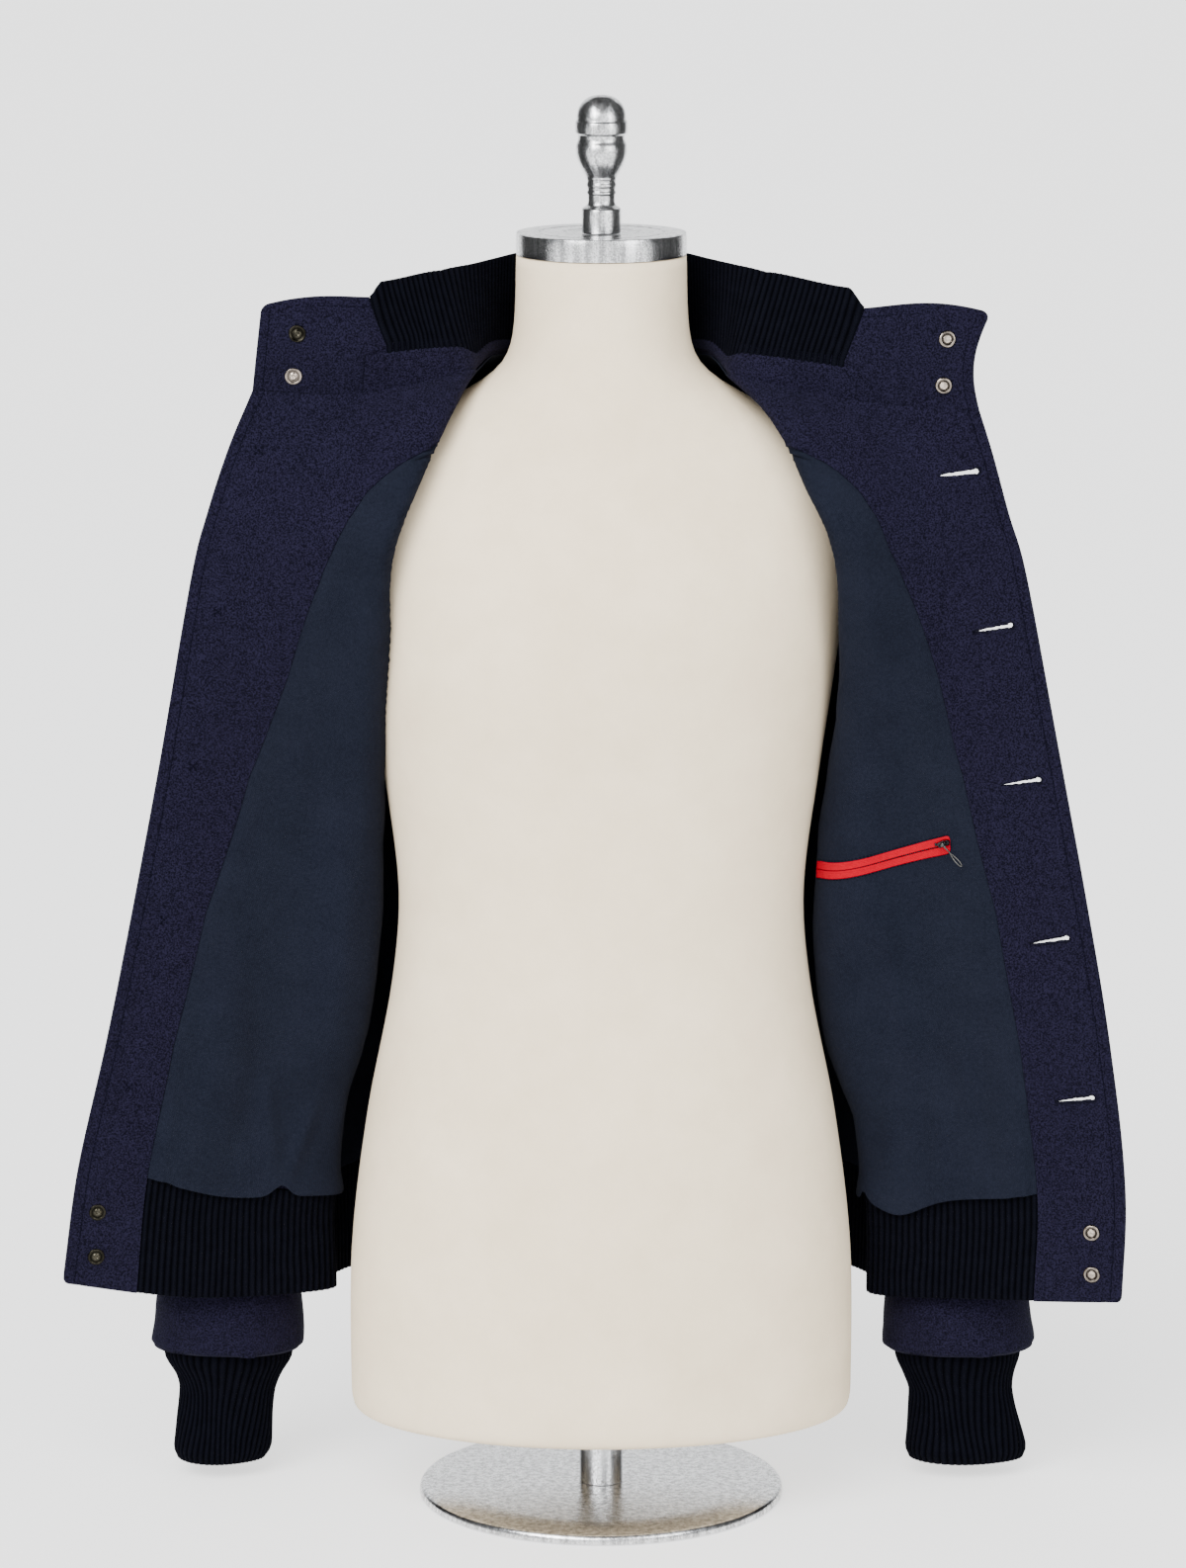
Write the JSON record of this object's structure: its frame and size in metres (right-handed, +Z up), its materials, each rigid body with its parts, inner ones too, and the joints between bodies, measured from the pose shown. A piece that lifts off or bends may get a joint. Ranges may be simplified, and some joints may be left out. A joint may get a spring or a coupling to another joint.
{
  "type": "bomber jacket on dress form",
  "caption": "Short wool bomber jacket with ribbed collar, hem and cuffs, worn wide open on a limbless dress form with a low round foot.",
  "frame": {"origin": "centre of the foot plate's underside, on the surface that the dress form stands on", "axes": "+Z up, -Y towards the front of the jacket, +X towards the wearer's left"},
  "size_m": [0.778, 0.2901, 1.0358],
  "materials": {
    "wool": "felted navy wool, matt",
    "lining": "fine cotton jersey, matt",
    "rib": "wool rib knit, matt",
    "form_cloth": "stretched jersey, matt",
    "satin_metal": "turned, satin",
    "snap_metal": "nickel plated",
    "button": "polished",
    "zip_tape": "woven tape with moulded teeth",
    "dark_metal": "gunmetal plated"
  },
  "bodies": {
    "jacket_and_form": {"back_panel": "wool", "front_right": "wool", "front_left": "wool", "facing_right": "wool", "facing_left": "wool", "lining_right": "lining", "lining_left": "lining", "lining_back": "lining", "sleeve_right": "wool", "sleeve_left": "wool", "cuff_right": "rib", "cuff_left": "rib", "hem_rib": "rib", "collar_rib": "rib", "collar_stand": "wool", "collar_tab_right": "wool", "collar_tab_left": "wool", "button_1": "button", "button_2": "button", "button_3": "button", "button_4": "button", "button_5": "button", "snap_cap_collar_low": "snap_metal", "snap_cap_collar_high": "snap_metal", "snap_cap_hem_low": "snap_metal", "snap_cap_hem_high": "snap_metal", "snap_socket_collar_low": "snap_metal", "snap_socket_collar_high": "snap_metal", "snap_socket_hem_low": "snap_metal", "snap_socket_hem_high": "snap_metal", "snap_stud_collar_low": "snap_metal", "snap_stud_collar_high": "snap_metal", "snap_stud_hem_low": "snap_metal", "snap_stud_hem_high": "snap_metal", "snap_plate_collar_low": "snap_metal", "snap_plate_collar_high": "snap_metal", "snap_plate_hem_low": "snap_metal", "snap_plate_hem_high": "snap_metal", "zip_tape": "zip_tape", "zip_slider": "dark_metal", "form_body": "form_cloth", "form_cap": "satin_metal", "form_finial": "satin_metal", "foot_pole": "satin_metal", "foot_plate": "satin_metal"},
    "pull": {"zip_pull": "dark_metal"}
  },
  "joints": [
    {"name": "zip_pull_swing", "type": "hinge", "parent": "jacket_and_form", "child": "pull", "pos_m": [0.2463, -0.04458, 0.4995], "axis": [-0.6917, 0.2808, -0.6653], "range_deg": [0, 150]}
  ]
}
